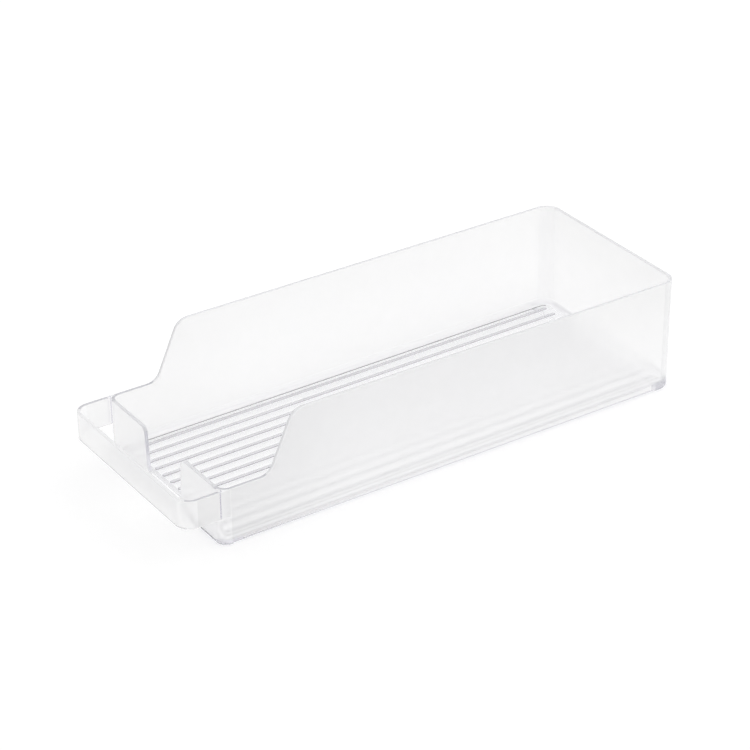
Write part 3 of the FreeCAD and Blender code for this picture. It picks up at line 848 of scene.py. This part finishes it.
@dataclass(frozen=True)
class FloorRibs:
    """The ribs on the floor: long bars with round ends, in a row across the tub."""

    count: int = 13
    pitch: float = 7.67 * MM
    width: float = 2.4 * MM
    margin: float = 5.8 * MM
    rise: float = 0.35 * MM
    sunk: float = 0.5 * MM
    edge: float = 0.3 * MM
    edge_angles: tuple[int, ...] = (0, 30, 60, 90)
    end_points: int = 7
    end_share: float = 0.4999
    flat_top: float = 0.99
    least_rise: float = 1e-9
    weld: float = 0.0001 * MM

    def tree(self) -> NodeTree:
        """Build the geometry tree, with its sizes as named inputs.

        Returns:
            The tree, which ends in Realize Instances and Set Material.
        """
        tree = bpy.data.node_groups.new("rib_row", "GeometryNodeTree")
        tree.interface.new_socket("Geometry", in_out="OUTPUT", socket_type="NodeSocketGeometry")
        inputs = {**dict.fromkeys(("Width", "Length", "Height", "Edge", "Pitch", "Tilt"), "Float"),
                  "Count": "Int", "Centre": "Vector", "Material": "Material"}
        for name, kind in inputs.items():
            tree.interface.new_socket(name, in_out="INPUT", socket_type=f"NodeSocket{kind}")
        bench = Bench(tree)
        given = bench.add("NodeGroupInput").outputs
        width, length, height, edge, pitch, tilt, count, centre, material = (
            Wire(bench, given[name]) for name in inputs)
        outline = bench.wire("GeometryNodeCurvePrimitiveQuadrilateral",
                             {"Width": width, "Height": length})
        rounded = bench.wire("GeometryNodeFilletCurve", {
            "Curve": outline, "Radius": width * self.end_share, "Count": self.end_points,
            "Limit Radius": True}, mode="POLY")
        base = bench.wire("GeometryNodeFillCurve", {"Curve": rounded}, mode="NGONS")
        bottom = bench.wire("GeometryNodeFlipFaces", {"Mesh": base})
        solid, top = base, None
        for up, inward in self._edge_steps():
            lift = height - edge + edge * up[1] if up[0] == 0 else edge * (up[1] - up[0])
            sockets = {"Mesh": solid, "Offset Scale": lift, "Individual": False}
            if top is not None:
                sockets["Selection"] = top
            raised = bench.add("GeometryNodeExtrudeMesh", sockets, mode="FACES")
            solid, top = (Wire(bench, raised.outputs[name]) for name in ("Mesh", "Top"))
            if inward[1] > 0:
                solid = self._shrink(bench, solid, top, (width, length), edge, inward)
        closed = bench.add("GeometryNodeJoinGeometry")
        tree.links.new(solid.socket, closed.inputs[0])
        tree.links.new(bottom.socket, closed.inputs[0])
        merged = bench.wire("GeometryNodeMergeByDistance",
                            {"Geometry": closed.outputs[0], "Distance": self.weld})
        step = bench.wire("ShaderNodeCombineXYZ", {"X": pitch})
        first = bench.wire("ShaderNodeCombineXYZ", {"X": (count - 1) * pitch * -0.5})
        points = bench.wire("GeometryNodeMeshLine", {
            "Count": count, "Start Location": first, "Offset": step}, mode="OFFSET")
        row = bench.wire("GeometryNodeInstanceOnPoints", {"Points": points, "Instance": merged})
        turn = bench.wire("ShaderNodeCombineXYZ", {"X": tilt})
        placed = bench.wire("GeometryNodeTransform",
                            {"Geometry": row, "Translation": centre, "Rotation": turn})
        real = bench.wire("GeometryNodeRealizeInstances", {"Geometry": placed})
        dressed = bench.wire("GeometryNodeSetMaterial", {"Geometry": real, "Material": material})
        bench.add("NodeGroupOutput", {0: dressed})
        return tree

    def _edge_steps(self) -> Iterator[tuple[tuple[float, float], tuple[float, float]]]:
        """The rounded upper edge in steps: shares risen and moved inwards, before and after."""
        angles = [math.radians(angle) for angle in self.edge_angles]
        shares = [(math.sin(angle), 1 - math.cos(angle)) for angle in angles]
        yield (0.0, 0.0), (0.0, 0.0)
        for (rise, inward), (next_rise, next_inward) in zip(shares, shares[1:]):
            yield (rise if rise else self.least_rise, next_rise), (inward, next_inward)

    def _shrink(self, bench: Bench, solid: Any, top: Any, sizes: tuple[Wire, Wire], edge: Wire,
                inward: tuple[float, float]) -> Wire:
        """Draw the uppermost face inwards, by a share of the edge, on all sides."""
        before, after = inward
        across, along = ((size - edge * (2 * after)) / (size - edge * (2 * before))
                         for size in sizes)
        scale = bench.wire("ShaderNodeCombineXYZ", {"X": across, "Y": along, "Z": 1.0})
        here = bench.wire("GeometryNodeInputPosition")
        moved = bench.wire("ShaderNodeVectorMath", {0: here, 1: scale}, operation="MULTIPLY")
        return bench.wire("GeometryNodeSetPosition",
                          {"Geometry": solid, "Selection": top, "Position": moved})

    def build(self, tub: TubShell, plastic: Material) -> Object:
        """Run the tree and keep its result as a plain mesh.

        Args:
            tub: The tub that the ribs lie in.
            plastic: The material of the ribs.

        Returns:
            The row of ribs, sunk a little into the floor.
        """
        length = tub.rear - tub.front - 2 * (tub.wall + self.margin)
        middle = (tub.front + tub.rear) / 2
        row = bpy.data.objects.new("rib_row", bpy.data.meshes.new("rib_row"))
        bpy.context.scene.collection.objects.link(row)
        modifier = row.modifiers.new("rib_row", "NODES")
        modifier.node_group = self.tree()
        inputs = {
            "Width": self.width, "Length": length, "Height": self.rise + self.sunk,
            "Edge": self.edge, "Pitch": self.pitch, "Count": self.count, "Material": plastic,
            "Tilt": math.atan2(tub.floor_rear - tub.floor_front, tub.rear - tub.front),
            "Centre": (0, middle, tub.floor_at(middle) - self.sunk)}
        for item in modifier.node_group.interface.items_tree:
            if item.in_out == "INPUT":
                modifier[item.identifier] = inputs[item.name]
        freeze(row)
        row.data.attributes.new(ZONE_MARK, "INT", "FACE")
        rezone(row, self.rib_zone)
        return row

    def rib_zone(self, face: MeshPolygon, _: Zone) -> Zone:
        """Tell apart the ribs' tops and their sides, which get painted shade, the sides darker."""
        return Zone.RIB_TOP if face.normal.z > self.flat_top else Zone.RIB_SIDE


@dataclass(frozen=True)
class Foot:
    """A pair of feet under two corners of the tub.

    Args:
        name: Name of the pair.
        inner_x: Inner end of a foot across the tub.
        outer_x: Outer side of a foot.
        end: Y of the side that lies by the end wall.
        stop: Y of the side that faces the middle of the tub.
        radius: Radius of the foot's outer corner.
        low: Height of its underside.
        high: Height of its upper side, inside the tub's own plastic.
        edge: Rounding of its lower edges.
        knee: Share of that rounding at its middle step.
        small_radius: Radius of its other corners.
        arc_step: Largest turn between two points of a corner.
    """

    name: str
    inner_x: float
    outer_x: float
    end: float
    stop: float
    radius: float
    low: float
    high: float
    edge: float = 0.15 * MM
    knee: float = 0.3
    small_radius: float = 0.6 * MM
    arc_step: float = math.radians(15)

    def outline(self, inward: float) -> list[Vector]:
        """The right-hand foot's outline, drawn in on all sides."""
        toward = math.copysign(1, self.stop - self.end)
        end, stop = self.end + toward * inward, self.stop - toward * inward
        inner, outer = self.inner_x + inward, self.outer_x - inward
        small, big = self.small_radius - inward, self.radius - inward
        corners = [(inner, end), (outer, end), (outer, stop), (inner, stop)]
        path = rounded_path(corners, [small, big, small, small], self.arc_step, closed=True)
        return [Vector((point.x, point.y, 0)) for point, _ in path]

    def build(self) -> list[Object]:
        """Stitch the right-hand foot and its mirror image."""
        knee = self.edge * self.knee
        levels = [(self.edge, self.low), (knee, self.low + knee),
                  (0.0, self.low + self.edge), (0.0, self.high)]
        right = [[point + Vector((0, 0, height)) for point in self.outline(inward)]
                 for inward, height in levels]
        sides = {"right": right, "left": [mirrored(ring) for ring in right]}
        return [stitch(f"{self.name}_{side}", rings, [Zone.FOOT] * (len(levels) + 1))
                for side, rings in sides.items()]


@dataclass(frozen=True)
class Feet:
    """The four feet and the two blocks that fill the rear corners of the hollow underside."""

    across: float = 24 * MM
    front_length: float = 7 * MM
    rear_length: float = 11.5 * MM
    overlap: float = 0.3 * MM

    def build(self, tub: TubShell) -> list[Object]:
        """Build the feet for a tub.

        Args:
            tub: The tub that stands on them.

        Returns:
            Six closed solids, each sunk a little into the tub.
        """
        inner = tub.half_width - self.across
        outer = tub.half_width - tub.base_edge
        ends = tub.front + tub.base_edge, tub.rear - tub.base_edge
        stops = tub.front + self.front_length, tub.rear - self.rear_length
        radii = tub.front_radius - tub.base_edge, tub.rear_radius - tub.base_edge
        into_skirt = tub.skirt_bottom + self.overlap
        names = "front_foot", "rear_foot"
        front, rear = (Foot(name, inner, outer, end, stop, radius, 0.0, into_skirt)
                       for name, end, stop, radius in zip(names, ends, stops, radii))
        inside = tub.wall - self.overlap
        top = tub.floor_at(tub.rear) - tub.floor_thick + self.overlap
        block = Foot("rear_block", inner + self.overlap, tub.half_width - inside,
                     tub.rear - inside, stops[1] + self.overlap, tub.rear_radius - inside,
                     tub.skirt_bottom - self.overlap, top)
        return [part for foot in (front, rear, block) for part in foot.build()]


@dataclass(frozen=True)
class Moulding:
    """The whole bin as one continuous moulding."""

    tub: TubShell = TubShell()
    loop: HandleLoop = HandleLoop()
    ribs: FloorRibs = FloorRibs()
    feet: Feet = Feet()
    plastic: FrostedPlastic = FrostedPlastic()
    crease: float = math.radians(35)
    weld: float = 0.002 * MM
    speck: float = 0.001 * MM
    stands_for: tuple[str, ...] = ("tub", "handle_loop", "floor_ribs", "front_feet", "rear_feet")

    def build(self) -> Object:
        """Unite the parts, smooth the result and dress it.

        Returns:
            The finished bin, riding on the only body and standing for every CAD node.
        """
        plastic = self.plastic.make()
        parts = [self.tub.build(), self.loop.build(), self.ribs.build(self.tub, plastic)]
        parts += self.feet.build(self.tub)
        for part in parts:
            report(part)
        whole = self.unite(parts)
        self.smooth(whole)
        lay_finish_and_painted_shade(whole)
        whole.data.materials.clear()
        whole.data.materials.append(plastic)
        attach(whole, "root")
        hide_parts(*self.stands_for)
        report(whole)
        return whole

    def unite(self, parts: Sequence[Object]) -> Object:
        """Unite closed parts that overlap into one skin, and remove the parts."""
        whole = parts[0]
        whole.name = whole.data.name = "bin_moulding"
        for part in parts[1:]:
            modifier = whole.modifiers.new(part.name, "BOOLEAN")
            modifier.operation = "UNION"
            modifier.solver = "EXACT"
            modifier.object = part
        freeze(whole)
        for part in parts[1:]:
            bpy.data.objects.remove(part)
        mesh = bmesh.new()
        mesh.from_mesh(whole.data)
        bmesh.ops.remove_doubles(mesh, verts=mesh.verts, dist=self.weld)
        bmesh.ops.dissolve_degenerate(mesh, dist=self.speck, edges=mesh.edges)
        loose = sum(not edge.is_manifold for edge in mesh.edges)
        LOG.info("united skin: %d open or shared edges, %.2f cm3", loose,
                 mesh.calc_volume() / (10 * MM) ** 3)
        mesh.to_mesh(whole.data)
        mesh.free()
        return whole

    def smooth(self, whole: Object) -> None:
        """Shade the skin smoothly: flat faces stay flat, and hard edges hard."""
        whole.data.shade_smooth()
        whole.data.set_sharp_from_angle(angle=self.crease)
        modifier = whole.modifiers.new("even_normals", "WEIGHTED_NORMAL")
        modifier.keep_sharp = True
        freeze(whole)


def report(piece: Object) -> None:
    """Log the size of a piece's mesh."""
    triangles = sum(len(face.vertices) - 2 for face in piece.data.polygons)
    LOG.info("%s: %d triangles", piece.name, triangles)


# Studio


@dataclass(frozen=True)
class Studio:
    """Camera, light and floor.

    Args:
        lens: Focal length in millimetres.
        frame_width: Width of the camera's frame in millimetres.
        far_clip: How far the camera sees.
        heading: Where the camera stands round the bin.
        elevation: How high it stands.
        roll: How far it is turned about its own axis.
        target: The point that it looks at.
        distance: How far away it stands.
        daylight: Mean strength of the white light from all round.
        slant: How much weaker the light is from the loop's side, and stronger from the other.
        clear_bounces: How often light may cross plastic or be mirrored.
        matt_bounces: How often light may be scattered.
    """

    lens: float = 127.24
    frame_width: float = 36.0
    far_clip: float = 20.0
    heading: float = math.radians(56.34)
    elevation: float = math.radians(29.592)
    roll: float = math.radians(-0.372)
    target: tuple[float, float, float] = (0.00859, -0.00928, 0.0355)
    distance: float = 1.3504
    daylight: float = 1.0
    slant: float = 0.3
    clear_bounces: int = 96
    matt_bounces: int = 24

    def set_camera(self) -> None:
        """Create the camera and make it the scene's own."""
        lens = bpy.data.cameras.new("camera")
        lens.lens = self.lens
        lens.sensor_width = self.frame_width
        lens.clip_end = self.far_clip
        camera = bpy.data.objects.new("camera", lens)
        bpy.context.scene.collection.objects.link(camera)
        turn = Matrix.Rotation(self.heading, 4, "Z")
        turn @= Matrix.Rotation(QUARTER_TURN - self.elevation, 4, "X")
        turn @= Matrix.Rotation(self.roll, 4, "Z")
        stand = Vector(self.target) + turn.to_3x3() @ Vector((0, 0, self.distance))
        camera.matrix_world = Matrix.Translation(stand) @ turn
        bpy.context.scene.camera = camera

    def set_light(self) -> None:
        """White light from all round, as in a light tent, a little weaker from the loop's side."""
        world = bpy.data.worlds.new("light_tent")
        world.use_nodes = True
        world.cycles.sampling_method = "NONE"
        bpy.context.scene.world = world
        bench = Bench(world.node_tree)
        toward = bench.wire("ShaderNodeTexCoord", output="Generated")
        along = bench.wire("ShaderNodeSeparateXYZ", {0: toward}, "Y")
        background = is_looked_at(bench)
        lit = self.daylight * (1 + self.slant * along)
        light = bench.wire("ShaderNodeBackground", {
            "Color": WHITE, "Strength": background + lit * (1 - background)})
        bench.add("ShaderNodeOutputWorld", {"Surface": light})

    def set_view(self) -> None:
        """Plain view transform, and enough light bounces for plastic behind plastic."""
        scene = bpy.context.scene
        scene.view_settings.view_transform = "Standard"
        cycles = scene.cycles
        cycles.blur_glossy = 0.0
        cycles.max_bounces = self.clear_bounces
        cycles.transmission_bounces = self.clear_bounces
        cycles.glossy_bounces = self.clear_bounces
        cycles.diffuse_bounces = self.matt_bounces

    def build(self) -> None:
        """Set up camera, light, view and floor."""
        self.set_camera()
        self.set_light()
        self.set_view()
        StudioFloor().make()


def main() -> None:
    """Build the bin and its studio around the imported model."""
    logging.basicConfig(level=logging.INFO, format="%(name)s: %(message)s")
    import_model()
    Studio().build()
    Moulding().build()


if __name__ == "__main__":
    main()
